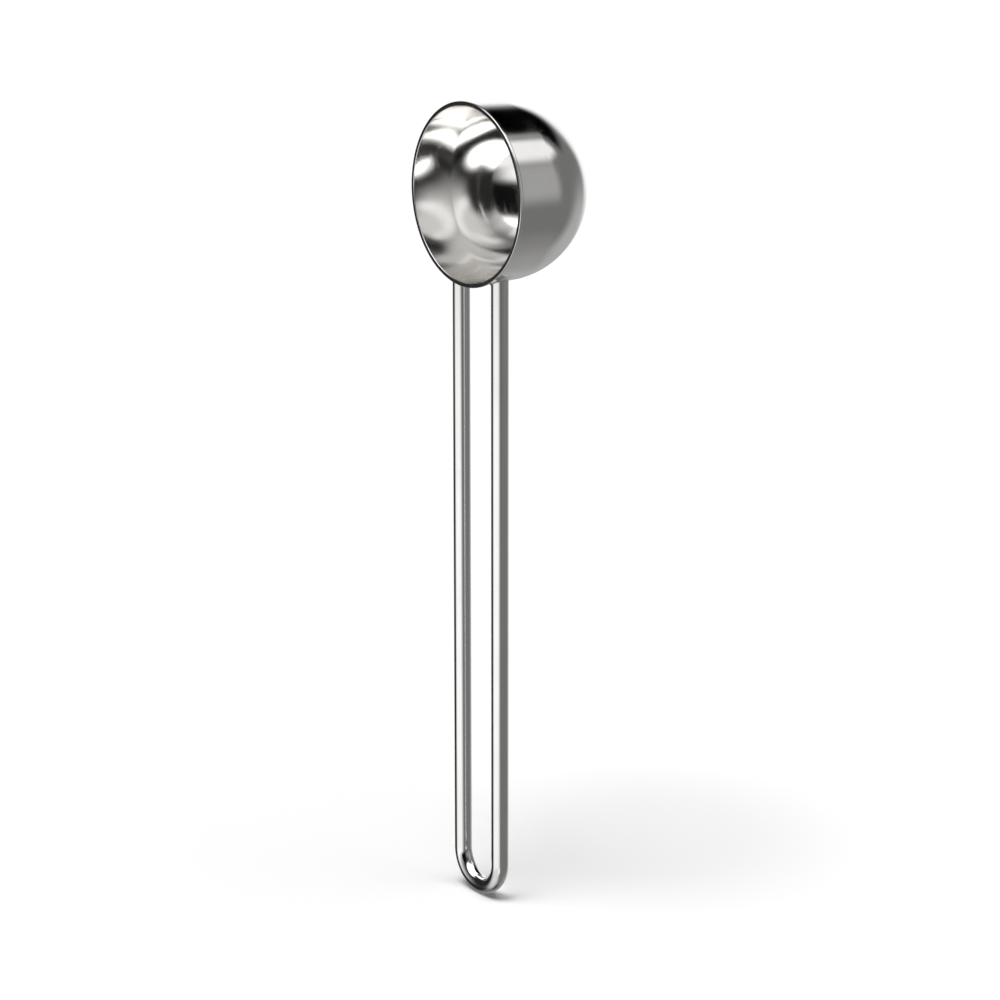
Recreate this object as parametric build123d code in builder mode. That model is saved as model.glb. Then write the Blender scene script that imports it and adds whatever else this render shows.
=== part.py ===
from build123d import *
from math import asin, degrees
import os

# A long measuring spoon: a deep-drawn steel bowl on a hairpin of round steel wire.
# The wire's two ends are coped to the bowl's round wall and welded there.
# The spoon stands upright on the bend of its wire, +Z runs up the handle and the mouth faces -Y.
# The origin is on the ground, under the middle of the bowl's width and of its depth.

# Bowl: diameters are outside ones, depths run back from the rim plane.
# The rim stands out past the wall as a narrow band with a sloping back.
rim_diameter = 34.8 * MM
band_height = 0.4 * MM
band_depth = 0.5 * MM
crease_diameter = 33.5 * MM
wall_depth = 8.7 * MM
bowl_depth = 24.5 * MM
sheet_thickness = 0.4 * MM
crease_blend_radius = 8.0 * MM
rim_edge_radius = 0.12 * MM

# Handle: the leg spacing is between centre lines, and is the diameter of the bend as well
wire_diameter = 3.4 * MM
leg_spacing = 12.3 * MM
leg_setback = 3.6 * MM
overall_length = 158.0 * MM

# Welds: a flat bead, with one leg along the wire and an equal one along the wall
weld_leg_length = 0.6 * MM

# The dome is the ball that passes through the crease and reaches the bowl's full depth
rim_radius = rim_diameter / 2
crease_radius = crease_diameter / 2
wall_start_radius = rim_radius - band_height
dome_rise = bowl_depth - wall_depth
dome_radius = (crease_radius**2 + dome_rise**2) / (2 * dome_rise)
dome_centre_depth = bowl_depth - dome_radius
crease_angle = degrees(asin((wall_depth - dome_centre_depth) / dome_radius))
quarter_turn = 90

# Heights above the ground, and places behind the rim plane
wire_radius = wire_diameter / 2
bend_radius = leg_spacing / 2
bend_centre_height = bend_radius + wire_radius
bowl_axis_height = overall_length - rim_radius
rim_y = -bowl_depth / 2
leg_y = rim_y + leg_setback
leg_blank_length = bowl_axis_height - bend_centre_height

# Sketch planes: across the bowl local X is its radius and local Y its depth,
# and across the legs local X is their spacing and local Y their height
bowl_plane = Plane(origin=(0, rim_y, bowl_axis_height), x_dir=(1, 0, 0), z_dir=(0, 0, 1))
leg_plane = Plane(origin=(0, leg_y, bend_centre_height), x_dir=(1, 0, 0), z_dir=(0, -1, 0))

# The bowl's outer shape without the band, as a full body that copes the legs and shapes the welds
with BuildPart() as bowl_blank:
    with BuildSketch(bowl_plane) as half_outline:
        with BuildLine():
            wall_line = Line((crease_radius, wall_depth), (wall_start_radius, 0))
            dome_arc = CenterArc(
                (0, dome_centre_depth), dome_radius, crease_angle, quarter_turn - crease_angle
            )
            Polyline(dome_arc @ 1, (0, 0), wall_line @ 1)
        make_face()
        crease_corner = half_outline.vertices().sort_by_distance((crease_radius, wall_depth))[0]
        fillet(crease_corner, radius=crease_blend_radius)
    revolve(axis=Axis(bowl_plane.origin, bowl_plane.y_dir))

# Bowl: one sheet of even thickness, open at the mouth, with the band round its rim and the
# rim just eased on both edges. The band's section starts in the middle of the sheet.
band_root_radius = wall_start_radius - sheet_thickness / 2
band_root_depth = band_depth + rim_radius - band_root_radius
with BuildPart() as bowl:
    add(bowl_blank.part)
    mouth_face = bowl.faces().sort_by(Axis.Y)[0]
    offset(amount=-sheet_thickness, openings=mouth_face, kind=Kind.INTERSECTION)
    with BuildSketch(bowl_plane):
        with BuildLine():
            Polyline(
                (band_root_radius, 0),
                (rim_radius, 0),
                (rim_radius, band_depth),
                (band_root_radius, band_root_depth),
                close=True,
            )
        make_face()
    revolve(axis=Axis(bowl_plane.origin, bowl_plane.y_dir))
    fillet(bowl.edges().group_by(Axis.Y)[0], radius=rim_edge_radius)

# Handle: one wire, down the left leg, round the bend and up the right leg.
# Both legs run on to the bowl's axis, and what lies inside the bowl's outer shape is cut away.
with BuildPart() as wire_handle:
    with BuildLine(leg_plane) as centre_line:
        left_leg = Line((-bend_radius, leg_blank_length), (-bend_radius, 0))
        bend = JernArc(left_leg @ 1, left_leg % 1, bend_radius, 2 * quarter_turn)
        Line(bend @ 1, (bend_radius, leg_blank_length))
    with BuildSketch(Plane(origin=centre_line.line @ 0, z_dir=centre_line.line % 0)):
        Circle(wire_radius)
    sweep()
    add(bowl_blank.part, mode=Mode.SUBTRACT)

# Welds: the bead between each leg and the wall, less the wall and the leg themselves
weld_stub_length = rim_radius + wire_diameter
weld_stub_plane = Plane.XY.offset(bowl_axis_height - weld_stub_length)
welds = {}
for name, leg_x in (("weld_left", -bend_radius), ("weld_right", bend_radius)):
    with BuildPart() as weld:
        add(bowl_blank.part)
        with BuildSketch(weld_stub_plane):
            with Locations((leg_x, leg_y)):
                Circle(wire_radius)
        extrude(amount=weld_stub_length)
        chamfer(weld.edges(Select.NEW), length=weld_leg_length)
        add(bowl_blank.part, mode=Mode.SUBTRACT)
        add(wire_handle.part, mode=Mode.SUBTRACT)
    welds[name] = weld.part

bowl.part.label = "bowl"
wire_handle.part.label = "wire_handle"
os.makedirs("parts", exist_ok=True)
export_step(bowl.part, "parts/bowl.step")
export_step(wire_handle.part, "parts/wire_handle.step")
for name, weld_part in welds.items():
    weld_part.label = name
    export_step(weld_part, f"parts/{name}.step")
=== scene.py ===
import math

import bmesh
import bpy
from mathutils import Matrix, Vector


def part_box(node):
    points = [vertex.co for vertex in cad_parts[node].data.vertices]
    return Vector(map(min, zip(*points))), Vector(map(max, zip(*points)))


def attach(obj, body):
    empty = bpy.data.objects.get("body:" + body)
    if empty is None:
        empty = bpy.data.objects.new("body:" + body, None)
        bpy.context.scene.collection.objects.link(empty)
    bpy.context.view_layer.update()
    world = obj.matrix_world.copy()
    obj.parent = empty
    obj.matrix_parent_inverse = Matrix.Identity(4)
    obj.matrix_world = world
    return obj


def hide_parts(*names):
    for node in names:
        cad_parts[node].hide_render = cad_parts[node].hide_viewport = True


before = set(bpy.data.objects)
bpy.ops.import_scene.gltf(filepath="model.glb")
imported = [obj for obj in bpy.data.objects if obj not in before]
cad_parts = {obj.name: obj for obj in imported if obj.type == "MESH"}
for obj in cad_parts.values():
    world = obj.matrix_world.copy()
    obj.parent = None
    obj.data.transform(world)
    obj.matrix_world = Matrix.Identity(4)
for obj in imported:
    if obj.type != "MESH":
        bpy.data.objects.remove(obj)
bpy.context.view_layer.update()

scene = bpy.context.scene

# A long measuring spoon: a deep steel bowl, welded to a hairpin of round steel wire.
# Lengths are in metres. These are taken from the frame.
bowl_low, bowl_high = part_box("bowl")
wire_low, wire_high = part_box("wire_handle")
bowl_depth = bowl_high.y - bowl_low.y
rim_y = bowl_low.y
axis_height = (bowl_low.z + bowl_high.z) / 2
wire_radius = (wire_high.y - wire_low.y) / 2
leg_y = (wire_high.y + wire_low.y) / 2
bend_radius = (wire_high.x - wire_low.x) / 2 - wire_radius
bend_centre_height = wire_low.z + wire_radius + bend_radius

# Bowl: radii are outside ones, and depths run back from the rim plane.
# The rim stands out past the wall as a narrow band with a back that slopes at 45 degrees.
rim_radius = 0.0174
band_height = 0.0004
band_depth = 0.0005
crease_radius = 0.01675
wall_depth = 0.0087
sheet_thickness = 0.0004
crease_blend_radius = 0.008
rim_edge_radius = 0.00012
band_edge_radius = 0.00006

# Wire: a leg's even rings stop this far under the wall's lowest place, and its coped end is
# closed by rings with these shares of its radius
leg_end_clearance = 0.0008
cope_ring_shares = (0.8, 0.55, 0.3)

# Welds: a bead's greatest length along the wire, its reach out over the wall as a share of
# that, and its fullness, from 0 for a face drawn into the corner to 1 for a flat one.
# The ripples are shares of the length, with so many waves round the bead.
weld_leg_length = 0.0006
weld_wall_share = 1.7
weld_fullness = 0.2
coarse_ripple, coarse_waves = 0.05, 3
fine_ripple, fine_waves = 0.03, 7

# The marks in the steel: their sizes and depths. Round the bowl the buffing marks' length
# goes by the angle, as so many marks to a radian.
grain_pitch = 0.00011
grain_depth = 1.6e-7
bowl_grain_density = 5.0
wire_grain_length = 0.006
peel_size = 0.0042
peel_depth = 3.0e-6
scratch_length = 0.0108
scratch_depth = 2.5e-7
scratch_patch_size = 0.0063
smudge_size = 0.009

# How finely each piece is divided, round it and then along it
bowl_sides = 256
wire_sides = 72
weld_sides = 160
rim_edge_steps = 12
band_edge_steps = 6
band_flat_steps = 3
rim_face_steps = 4
wall_steps = 24
blend_steps = 6
dome_steps = 90
leg_steps = 40
bend_steps = 64
weld_steps = 12

# The wall is a straight line and the dome a ball through the crease
wall_start_radius = rim_radius - band_height
wall_slope = math.atan2(wall_start_radius - crease_radius, wall_depth)
wall_normal = (math.cos(wall_slope), math.sin(wall_slope))
dome_rise = bowl_depth - wall_depth
dome_radius = (crease_radius**2 + dome_rise**2) / (2 * dome_rise)
dome_centre_depth = bowl_depth - dome_radius


def spaced(first, last, steps):
    """Evenly spaced values, both ends included."""
    return [first + (last - first) * i / steps for i in range(steps + 1)]


def round_turn(sides):
    """The angles of a closed ring's points."""
    return spaced(0.0, 2 * math.pi, sides)[:-1]


def neighbours(sides):
    """Each place on a closed ring with the next one."""
    return [(i, (i + 1) % sides) for i in range(sides)]


# The bowl's outline, as (radius, depth, normal's angle) with the angle measured from the
# radius towards the depth


def off_wall(distance, depth):
    """Radius at a depth on the line that lies a distance outside the wall's outer face."""
    reach = wall_start_radius * wall_normal[0] + distance
    return (reach - depth * wall_normal[1]) / wall_normal[0]


def arc(centre, radius, first, last, steps, turn=0.0):
    """Outline points round a centre, their normals turned. A hollow arc's radius is negative."""
    return [
        (centre[0] + radius * math.cos(a), centre[1] + radius * math.sin(a), a + turn)
        for a in spaced(first, last, steps)
    ]


def line_between(start, end, steps):
    """The points inside a straight stretch, which faces the way its end does."""
    return [
        (start[0] + (end[0] - start[0]) * t, start[1] + (end[1] - start[1]) * t, end[2])
        for t in spaced(0.0, 1.0, steps)[1:-1]
    ]


def blend_centre():
    """The middle of the arc that blends the wall into the dome, as (radius, depth)."""
    # It lies on the wall's line moved in by the blend radius, and as far from the dome's
    # middle as an arc that touches the dome from inside
    start = (
        wall_start_radius - crease_blend_radius * wall_normal[0],
        -crease_blend_radius * wall_normal[1],
    )
    along = (-wall_normal[1], wall_normal[0])
    offset = (start[0], start[1] - dome_centre_depth)
    half = offset[0] * along[0] + offset[1] * along[1]
    rest = offset[0] ** 2 + offset[1] ** 2 - (dome_radius - crease_blend_radius) ** 2
    reach = -half + math.sqrt(half**2 - rest)
    return start[0] + reach * along[0], start[1] + reach * along[1]


def outer_rim():
    """The eased outer edge, the band, its sloping back and the hollow that runs into the wall."""
    slope = math.pi / 4
    edge_centre = (rim_radius - rim_edge_radius, rim_edge_radius)
    edge = arc(edge_centre, rim_edge_radius, -math.pi / 2, 0, rim_edge_steps)
    corner_depth = band_depth - band_edge_radius * (math.sqrt(2) - 1)
    corner_centre = (rim_radius - band_edge_radius, corner_depth)
    corner = arc(corner_centre, band_edge_radius, 0, slope, band_edge_steps)
    # The hollow's middle lies its radius off both the sloping back and the wall
    level = rim_radius + band_depth + band_edge_radius * math.sqrt(2)
    hollow_depth = (level - off_wall(band_edge_radius, 0.0)) / (1 - math.tan(wall_slope))
    hollow_centre = (level - hollow_depth, hollow_depth)
    hollow = arc(hollow_centre, -band_edge_radius, slope, wall_slope, band_edge_steps)
    band = line_between(edge[-1], corner[0], band_flat_steps)
    back = line_between(corner[-1], hollow[0], band_flat_steps)
    return edge + band + corner + back + hollow


def inner_rim():
    """The eased inner edge, which runs into the wall's inner face."""
    centre = (off_wall(rim_edge_radius - sheet_thickness, rim_edge_radius), rim_edge_radius)
    return arc(centre, rim_edge_radius, -math.pi / 2, wall_slope - math.pi, rim_edge_steps)


def blend_and_dome(inset, turn):
    """The outer face's blend and dome, moved in by an inset, with their normals turned."""
    blend = blend_centre()
    blend_end = math.atan2(blend[1] - dome_centre_depth, blend[0])
    dome = (0.0, dome_centre_depth)
    line = arc(blend, crease_blend_radius - inset, wall_slope, blend_end, blend_steps, turn)
    line += arc(dome, dome_radius - inset, blend_end, math.pi / 2, dome_steps, turn)[1:]
    return line


def with_wall(rim, dome):
    """One face's outline: its rim, the straight wall, and the rest up to the bowl's axis."""
    return rim + line_between(rim[-1], dome[0], wall_steps) + dome


def bowl_outline():
    """The sheet's section, from the axis inside, over the rim's flat ring, to the axis outside."""
    outer = with_wall(outer_rim(), blend_and_dome(0.0, 0.0))
    inner = with_wall(inner_rim(), blend_and_dome(sheet_thickness, -math.pi))
    ring = [
        (radius, 0.0, -math.pi / 2)
        for radius in spaced(inner[0][0], outer[0][0], rim_face_steps)[1:-1]
    ]
    return inner[::-1] + ring + outer


# Meshes


def put_in_scene(name, data):
    """A new object in the scene."""
    obj = bpy.data.objects.new(name, data)
    scene.collection.objects.link(obj)
    return obj


def smooth_mesh(name, points, faces):
    """A mesh of smooth faces."""
    mesh = bpy.data.meshes.new(name)
    mesh.from_pydata(points, [], faces)
    mesh.polygons.foreach_set("use_smooth", [True] * len(faces))
    return mesh


def exact_piece(name, points, faces, corner_normals):
    """A piece whose face corners carry the surface's true normals."""
    mesh = smooth_mesh(name, points, faces)
    mesh.normals_split_custom_set(corner_normals)
    mesh.validate(clean_customdata=False)
    return put_in_scene(name, mesh)


def bowl_piece(name, outline, sides):
    """The bowl, turned from an outline that starts and ends on its axis."""
    points, normals = [], []

    def place(radius, depth, angle, turn):
        across, up = math.sin(turn), -math.cos(turn)
        points.append((radius * across, rim_y + depth, axis_height + radius * up))
        normals.append((math.cos(angle) * across, math.sin(angle), math.cos(angle) * up))

    place(*outline[0], 0.0)
    for station in outline[1:-1]:
        for turn in round_turn(sides):
            place(*station, turn)
    place(*outline[-1], 0.0)

    outer_pole = len(points) - 1
    last_row = outer_pole - sides
    faces = []
    for i, j in neighbours(sides):
        faces.append((0, 1 + i, 1 + j))
        for a in range(1, last_row, sides):
            b = a + sides
            faces.append((a + i, b + i, b + j, a + j))
        faces.append((last_row + i, outer_pole, last_row + j))
    return exact_piece(name, points, faces, [normals[v] for f in faces for v in f])


def on_wall(x, y):
    """The place where a vertical line meets the underside of the bowl's wall."""
    wall_radius = wall_start_radius - math.tan(wall_slope) * (y - rim_y)
    return Vector((x, y, axis_height - math.sqrt(wall_radius**2 - x**2)))


def wire_ring(centre, out):
    """Points and normals round the wire, where out leads away from the bend's middle."""
    normals = [
        out * math.cos(a) + Vector((0, -1, 0)) * math.sin(a) for a in round_turn(wire_sides)
    ]
    return [centre + normal * wire_radius for normal in normals], normals


def raised_to_wall(ring):
    """A ring's points moved straight up to the wall, with the normals that they had."""
    points, normals = ring
    return [on_wall(p.x, p.y) for p in points], normals


def wire_rings():
    """The wire's rings, down the left leg, round the bend and up the right leg."""
    leg_top = axis_height - wall_start_radius - leg_end_clearance
    heights = spaced(leg_top, bend_centre_height, leg_steps)
    left, right = Vector((-1, 0, 0)), Vector((1, 0, 0))
    rings = [wire_ring(Vector((-bend_radius, leg_y, z)), left) for z in heights]
    for turn in spaced(0.0, math.pi, bend_steps)[1:-1]:
        out = Vector((-math.cos(turn), 0, -math.sin(turn)))
        rings.append(wire_ring(Vector((0, leg_y, bend_centre_height)) + out * bend_radius, out))
    rings += [wire_ring(Vector((bend_radius, leg_y, z)), right) for z in heights[::-1]]
    return [raised_to_wall(rings[0])] + rings + [raised_to_wall(rings[-1])]


def coped_end(points, outer, side):
    """Adds the points, and gives the faces, that close a leg's end on the wall, ring in ring."""
    faces = []
    for share in cope_ring_shares:
        inner = len(points)
        for a in round_turn(wire_sides):
            x = side * (bend_radius + math.cos(a) * wire_radius * share)
            y = leg_y - math.sin(a) * wire_radius * share
            points.append(on_wall(x, y))
        faces += [
            (outer + i, outer + j, inner + j, inner + i) for i, j in neighbours(wire_sides)
        ]
        outer = inner
    middle = len(points)
    points.append(on_wall(side * bend_radius, leg_y))
    faces += [(outer + i, outer + j, middle) for i, j in neighbours(wire_sides)]
    return faces if side < 0 else [f[::-1] for f in faces]


def into_wall(point):
    """The direction straight into the wall at a place on it, which a coped end faces."""
    out = Vector((point.x, 0, point.z - axis_height)).normalized() * wall_normal[0]
    return -(out + Vector((0, wall_normal[1], 0)))


def wire_piece(name):
    """One bent wire with both ends coped to the bowl's wall."""
    rings = wire_rings()
    points = [point for ring_points, _ in rings for point in ring_points]
    normals = [normal for _, ring_normals in rings for normal in ring_normals]
    last_ring = len(points) - wire_sides
    faces = []
    for a in range(0, last_ring, wire_sides):
        b = a + wire_sides
        faces += [(a + i, b + i, b + j, a + j) for i, j in neighbours(wire_sides)]
    corner_normals = [normals[v] for f in faces for v in f]
    for ring, side in ((0, -1), (last_ring, 1)):
        end_faces = coped_end(points, ring, side)
        faces += end_faces
        corner_normals += [into_wall(points[v]) for f in end_faces for v in f]
    return exact_piece(name, points, faces, corner_normals)


def weld_section(side, angle):
    """A section of the bead: the points of its face from the wire to the wall, and the corner."""
    out = Vector((math.cos(angle), -math.sin(angle), 0))
    on_wire = Vector((side * bend_radius, leg_y, 0)) + out * wire_radius
    corner = on_wall(on_wire.x, on_wire.y)
    swell = 1 + coarse_ripple * math.sin(coarse_waves * angle + side)
    swell += fine_ripple * math.sin(fine_waves * angle + 2 * side)
    leg = weld_leg_length * swell / (1 + coarse_ripple + fine_ripple)
    toe_on_wire = corner - Vector((0, 0, leg))
    far = on_wire + out * leg * weld_wall_share
    toe_on_wall = on_wall(far.x, far.y)
    # The face is a hollow curve, pulled towards a place near the corner
    pull = corner.lerp((toe_on_wire + toe_on_wall) / 2, weld_fullness)
    face = [
        toe_on_wire * (1 - t) ** 2 + pull * 2 * t * (1 - t) + toe_on_wall * t**2
        for t in spaced(0.0, 1.0, weld_steps)
    ]
    return face, corner


def weld_piece(name, side):
    """A bead round the top of one leg: a hollow fillet from the wire to the wall, with ripples."""
    sections = [weld_section(side, angle) for angle in round_turn(weld_sides)]
    points = [point for face, _ in sections for point in face]
    points += [corner for _, corner in sections]
    count = weld_steps + 1
    corners = weld_sides * count
    faces = []
    for i, j in neighbours(weld_sides):
        a, b = i * count, j * count
        faces += [(a + k, b + k, b + k + 1, a + k + 1) for k in range(weld_steps)]
        faces.append((a + weld_steps, b + weld_steps, corners + j, corners + i))
        faces.append((corners + i, corners + j, b, a))
    mesh = smooth_mesh(name, points, faces)

    # The bead's two toes and the corner that it fills are sharp
    sharp = set(range(corners, len(points)))
    for a in range(0, corners, count):
        sharp |= {a, a + weld_steps}
    bead = bmesh.new()
    bead.from_mesh(mesh)
    bmesh.ops.recalc_face_normals(bead, faces=bead.faces)
    for edge in bead.edges:
        if all(v.index in sharp for v in edge.verts):
            edge.smooth = False
    bead.to_mesh(mesh)
    bead.free()
    return put_in_scene(name, mesh)


bowl = bowl_piece("bowl_steel_shell", bowl_outline(), bowl_sides)
handle = wire_piece("handle_wire")
welds = [weld_piece("weld_bead_left", -1), weld_piece("weld_bead_right", 1)]

# Shader nodes

# The factor and the two colours of a Mix node, and its colour result, among sockets that
# share their names
mix_inputs = (0, 6, 7)
mix_output = 2


def grey(level):
    """A colour without a tint."""
    return (level, level, level, 1)


class Graph:
    """Short ways to add nodes to one tree. A value is a number, a tuple or a socket."""

    def __init__(self, tree):
        self.tree = tree
        self.tree.nodes.clear()

    def node(self, kind, **settings):
        made = self.tree.nodes.new(kind)
        for key, value in settings.items():
            setattr(made, key, value)
        return made

    def put(self, value, socket):
        if isinstance(value, bpy.types.NodeSocket):
            self.tree.links.new(value, socket)
        else:
            socket.default_value = value

    def fill(self, made, values):
        """Puts the values in a node's first sockets, and gives its first result."""
        for value, socket in zip(values, made.inputs):
            self.put(value, socket)
        return made.outputs[0]

    def math(self, operation, *values):
        return self.fill(self.node("ShaderNodeMath", operation=operation), values)

    def vector(self, operation, *values):
        return self.fill(self.node("ShaderNodeVectorMath", operation=operation), values)

    def combine(self, *values):
        return self.fill(self.node("ShaderNodeCombineXYZ"), values)

    def split(self, vector):
        made = self.node("ShaderNodeSeparateXYZ")
        self.put(vector, made.inputs[0])
        return made.outputs

    def hypotenuse(self, first, second):
        squares = [self.math("MULTIPLY", side, side) for side in (first, second)]
        return self.math("SQRT", self.math("ADD", *squares))

    def ramp(self, value, band, at_low=0.0, at_high=1.0):
        """A smooth change from one result to another, as the value crosses a band."""
        made = self.node("ShaderNodeMapRange", interpolation_type="SMOOTHSTEP")
        return self.fill(made, (value, *band, at_low, at_high))

    def mix(self, share, first, second):
        made = self.node("ShaderNodeMix", data_type="RGBA")
        for value, place in zip((share, first, second), mix_inputs):
            self.put(value, made.inputs[place])
        return made.outputs[mix_output]

    def noise(self, vector, scale, detail, roughness):
        made = self.node("ShaderNodeTexNoise")
        self.put(vector, made.inputs["Vector"])
        made.inputs["Scale"].default_value = scale
        made.inputs["Detail"].default_value = detail
        made.inputs["Roughness"].default_value = roughness
        return made.outputs[0]

    def rotate(self, vector, axis, angle):
        made = self.node("ShaderNodeVectorRotate", rotation_type="AXIS_ANGLE")
        self.put(vector, made.inputs["Vector"])
        made.inputs["Axis"].default_value = axis
        made.inputs["Angle"].default_value = angle
        return made.outputs[0]


# Steel

# Each steel's tint, and its tint under a smudge
bowl_tints = (0.880, 0.872, 0.858), (0.850, 0.838, 0.820)
wire_tints = (0.880, 0.872, 0.862), (0.845, 0.834, 0.820)
weld_tints = (0.830, 0.815, 0.790), (0.740, 0.715, 0.680)

# The scratches lie in three directions: a turn about the axis, and how slender they are
scratch_axis = (0.45, 0.7, 0.55)
scratch_sets = ((0.6, 34.0), (2.2, 26.0), (1.35, 40.0))

# The stretches of a noise, out of 0 to 1, over which each mark comes in
scratch_band = (0.665, 0.70)
patch_band = (0.5, 0.66)
worn_band = (0.42, 0.72)
smudge_band = (0.35, 0.75)

# A smudge's share of the worn tint, the shares of a steel's roughness where it is clean and
# where it is smudged, and what a scratch and the buffing marks add to the roughness
worn_share = 0.55
clean_roughness, smudged_roughness = 0.85, 1.3
scratch_roughness = 0.10
grain_roughness = 0.05


def bowl_grain(g, place):
    """Coordinates that run round the bowl, so the buffing marks are circles about its axis."""
    x, y, z = g.split(g.vector("SUBTRACT", place, (0, rim_y, axis_height)))
    return g.combine(
        g.math("MULTIPLY", g.math("ARCTAN2", x, z), bowl_grain_density),
        g.math("DIVIDE", g.hypotenuse(x, z), grain_pitch),
        g.math("DIVIDE", y, grain_pitch),
    )


def wire_grain(g, place):
    """Coordinates that run along the wire, legs and bend alike."""
    x, y, z = g.split(place)
    below = g.math("MINIMUM", g.math("SUBTRACT", z, bend_centre_height), 0.0)
    return g.combine(
        g.math("DIVIDE", g.math("ADD", z, x), wire_grain_length),
        g.math("DIVIDE", g.hypotenuse(x, below), grain_pitch),
        g.math("DIVIDE", y, grain_pitch),
    )


def scratch_marks(g, place):
    """Hairline scratches, in patches, as 1 on a scratch and 0 elsewhere."""
    marks = 0.0
    for turn, slenderness in scratch_sets:
        turned = g.rotate(place, scratch_axis, turn)
        drawn = g.vector("MULTIPLY", turned, (1.0, slenderness, slenderness))
        hairs = g.noise(drawn, 1 / scratch_length, detail=1.0, roughness=0.3)
        marks = g.math("MAXIMUM", marks, g.ramp(hairs, scratch_band))
    patches = g.noise(place, 1 / scratch_patch_size, detail=1.0, roughness=0.5)
    return g.math("MULTIPLY", marks, g.ramp(patches, patch_band))


def steel(name, tints, roughness, grain, peel=1.0):
    """Polished steel: buffing marks, a faint waviness, hairline scratches and some smudges.

    The bump's height is in metres, and peel is a share of the waviness's full depth.
    """
    material = bpy.data.materials.new(name)
    material.use_nodes = True
    g = Graph(material.node_tree)
    shader = g.node("ShaderNodeBsdfPrincipled")
    g.put(shader.outputs[0], g.node("ShaderNodeOutputMaterial").inputs["Surface"])
    shader.inputs["Metallic"].default_value = 1.0

    place = g.node("ShaderNodeTexCoord").outputs["Object"]
    lines = g.noise(grain(g, place), 1.0, detail=3.0, roughness=0.6)
    waves = g.noise(place, 1 / peel_size, detail=1.0, roughness=0.4)
    smudges = g.noise(place, 1 / smudge_size, detail=3.0, roughness=0.55)
    scratches = scratch_marks(g, place)

    clean, worn = [(*tint, 1) for tint in tints]
    share = g.math("MULTIPLY", g.ramp(smudges, worn_band), worn_share)
    g.put(g.mix(share, clean, worn), shader.inputs["Base Color"])

    rough = g.ramp(
        smudges, smudge_band, roughness * clean_roughness, roughness * smudged_roughness
    )
    rough = g.math("ADD", rough, g.math("MULTIPLY", scratches, scratch_roughness))
    streaks = g.math("MULTIPLY", g.math("SUBTRACT", lines, 0.5), grain_roughness)
    g.put(g.math("ADD", rough, streaks), shader.inputs["Roughness"])

    height = g.math("MULTIPLY", waves, peel_depth * peel)
    height = g.math("ADD", height, g.math("MULTIPLY", lines, grain_depth))
    height = g.math("SUBTRACT", height, g.math("MULTIPLY", scratches, scratch_depth))
    bump = g.node("ShaderNodeBump")
    bump.inputs["Strength"].default_value = 1.0
    bump.inputs["Distance"].default_value = 1.0
    g.put(height, bump.inputs["Height"])
    g.put(bump.outputs[0], shader.inputs["Normal"])
    return material


bowl_steel = steel("bowl_steel", bowl_tints, roughness=0.105, grain=bowl_grain)
wire_steel = steel("wire_steel", wire_tints, roughness=0.08, grain=wire_grain, peel=0.6)
weld_steel = steel("weld_steel", weld_tints, roughness=0.12, grain=wire_grain, peel=3.0)
bowl.data.materials.append(bowl_steel)
handle.data.materials.append(wire_steel)
for weld in welds:
    weld.data.materials.append(weld_steel)

for piece, node, finish in (
    (bowl, "bowl", "bowl_steel"),
    (handle, "wire_handle", "wire_steel"),
    (welds[0], "weld_left", "weld_steel"),
    (welds[1], "weld_right", "weld_steel"),
):
    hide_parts(node)
    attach(piece, "root")

# Floor: a white sheet. The metal mirrors the studio's cards in its place.
floor_half = 3.0
floor_level = 0.9
floor_corners = [(-1, -1), (1, -1), (1, 1), (-1, 1)]
floor_mesh = bpy.data.meshes.new("studio_floor")
floor_mesh.from_pydata(
    [(x * floor_half, y * floor_half, 0) for x, y in floor_corners], [], [(0, 1, 2, 3)]
)
floor = put_in_scene("studio_floor", floor_mesh)
floor.visible_glossy = False

floor_material = bpy.data.materials.new("studio_floor")
floor_material.use_nodes = True
g = Graph(floor_material.node_tree)
paper = g.node("ShaderNodeBsdfDiffuse")
paper.inputs["Color"].default_value = grey(floor_level)
g.put(paper.outputs[0], g.node("ShaderNodeOutputMaterial").inputs["Surface"])
floor_mesh.materials.append(floor_material)


def lamp(name, azimuth, elevation, width, energy):
    """A softbox far away, as wide as an angle. It lights the floor and isn't mirrored."""
    data = bpy.data.lights.new(name, "SUN")
    data.energy = energy
    data.angle = math.radians(width)
    obj = put_in_scene(name, data)
    a, e = math.radians(azimuth), math.radians(elevation)
    towards = Vector((math.sin(a) * math.cos(e), math.cos(a) * math.cos(e), math.sin(e)))
    obj.rotation_mode = "QUATERNION"
    obj.rotation_quaternion = towards.to_track_quat("Z", "Y")
    obj.visible_glossy = False


# Lights: azimuths run from +Y towards +X and elevations from the horizon, in degrees
lamp("key_softbox", azimuth=177, elevation=74, width=28, energy=2.1)
lamp("fill_softbox", azimuth=72, elevation=73, width=34, energy=1.05)

# The world's level: as light on the floor, as the camera sees it, and between the cards
ambient_level = 0.18
backdrop_level = 1.0
base_level = 0.18

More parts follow.
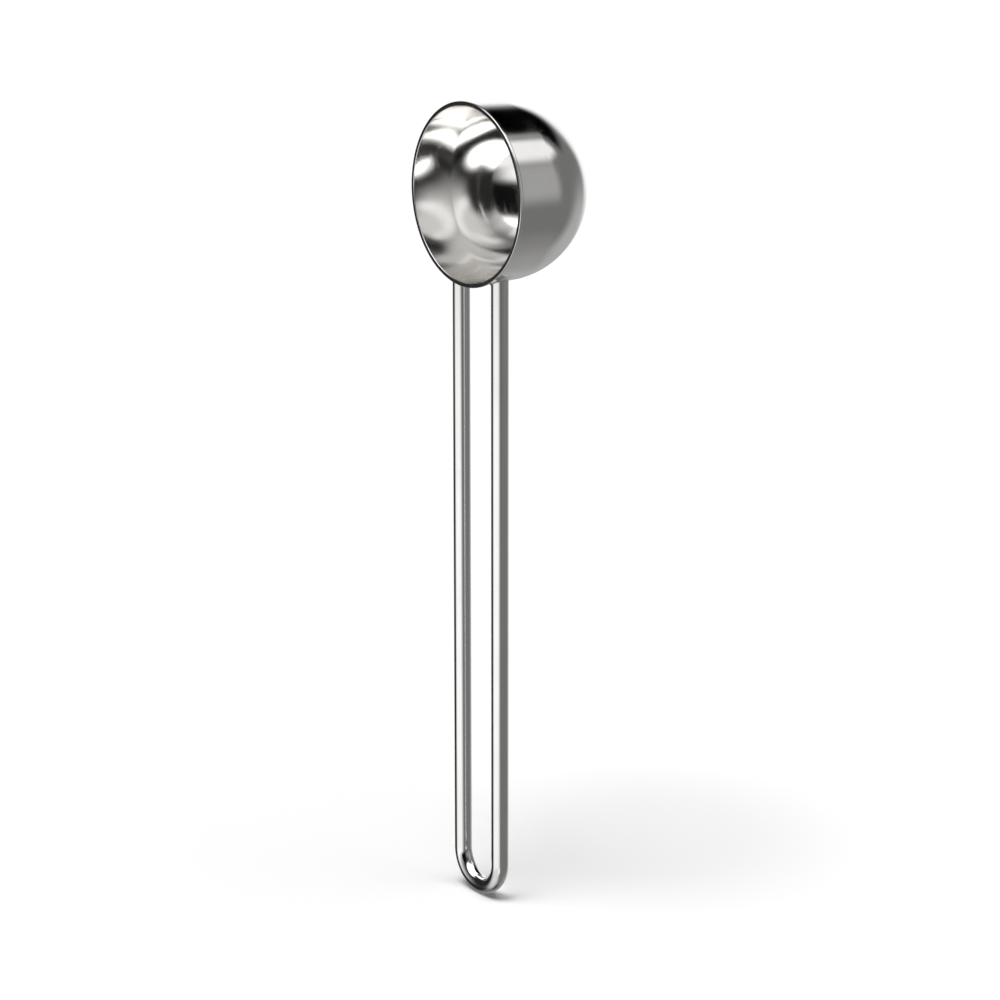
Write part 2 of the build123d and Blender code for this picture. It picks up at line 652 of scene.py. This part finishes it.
# The studio round the spoon, as the metal sees it. Each card lies over the ones before it:
# (azimuth, elevation, half width, half height, side edge, upper edge, level)
cards = {
    "front_dark": (180, 20, 75, 27, 12, 12, 0.02),
    "floor_low": (-10, -62, 60, 20, 14, 12, 0.27),
    "floor_behind": (-25, -26, 32, 22, 14, 14, 0.43),
    "floor_front": (178, -32, 41, 39, 22, 26, 0.76),
    "front_sweep": (178, -17, 40, 8, 20, 6, 1.1),
    "near_patch": (138, -33, 14, 8, 7, 6, 1.0),
    "overhead": (170, 90, 56, 46, 20, 10, 3.0),
    "overhead_top": (0, 90, 200, 31, 10, 8, 2.8),
    "overhead_back": (40, 78, 100, 25, 10, 5, 1.9),
    "camera_flag": (136, 16, 24, 21, 8, 6, 0.005),
    "side_flag": (-112, -8, 22, 44, 10, 10, 0.02),
    # Painted shadow: the dark floor straight under the spoon, where its contact shadow lies,
    # painted into what the metal mirrors
    "nadir_painted_shadow": (0, -90, 200, 14, 10, 5, 0.09),
    "backdrop": (-57, 4, 34, 16, 11, 10, 1.02),
    "wall_sheen": (52, 13, 14, 19, 7, 9, 0.38),
    "wall_white": (30, 42, 13, 10, 5, 5, 0.98),
    "back_flag": (-20, 46, 27, 19, 6, 6, 0.0),
}


def near_zero(g, angle, half_width, edge):
    """1 for an angle within a half width of zero and 0 past it, with a soft edge, in degrees."""
    band = (math.radians(half_width - edge), math.radians(half_width + edge))
    return g.ramp(g.math("ABSOLUTE", angle), band, 1.0, 0.0)


world = bpy.data.worlds.new("studio")
scene.world = world
world.use_nodes = True
g = Graph(world.node_tree)
x, y, z = g.split(g.node("ShaderNodeTexCoord").outputs["Generated"])
azimuth = g.math("ARCTAN2", x, y)
elevation = g.math("ARCSINE", z)
mirrored = grey(base_level)
for at, up, half_width, half_height, side_edge, upper_edge, level in cards.values():
    across = g.math("WRAP", g.math("SUBTRACT", azimuth, math.radians(at)), math.pi, -math.pi)
    along = g.math("SUBTRACT", elevation, math.radians(up))
    card = g.math(
        "MULTIPLY",
        near_zero(g, across, half_width, side_edge),
        near_zero(g, along, half_height, upper_edge),
    )
    mirrored = g.mix(card, mirrored, grey(level))
path = g.node("ShaderNodeLightPath")
colour = g.mix(path.outputs["Is Glossy Ray"], grey(ambient_level), mirrored)
colour = g.mix(path.outputs["Is Camera Ray"], colour, grey(backdrop_level))
sky = g.node("ShaderNodeBackground")
g.put(colour, sky.inputs["Color"])
g.put(sky.outputs[0], g.node("ShaderNodeOutputWorld").inputs["Surface"])

# Camera, at the photograph's viewing angle. Its azimuth runs from -Y towards +X, and it aims
# to the right of the rim's middle and below it.
camera_azimuth = math.radians(53.217)
camera_elevation = math.radians(14.582)
camera_distance = 0.49769
camera_lens, camera_sensor = 93.123, 36.0
nearest_seen, farthest_seen = 0.01, 20.0
aim_right, aim_down = 0.006602, 0.058789
back = Vector(
    (
        math.sin(camera_azimuth) * math.cos(camera_elevation),
        -math.cos(camera_azimuth) * math.cos(camera_elevation),
        math.sin(camera_elevation),
    )
)
aim = Vector((0, rim_y, axis_height - aim_down))
aim += Vector((math.cos(camera_azimuth), math.sin(camera_azimuth), 0)) * aim_right
camera_data = bpy.data.cameras.new("camera")
camera_data.sensor_width = camera_sensor
camera_data.lens = camera_lens
camera_data.clip_start = nearest_seen
camera_data.clip_end = farthest_seen
camera = put_in_scene("camera", camera_data)
camera.location = aim + back * camera_distance
camera.rotation_mode = "QUATERNION"
camera.rotation_quaternion = back.to_track_quat("Z", "Y")
scene.camera = camera

scene.view_settings.view_transform = "Standard"

# The steel mirrors itself many times over inside the bowl
mirror_bounces = 12
scene.cycles.glossy_bounces = mirror_bounces
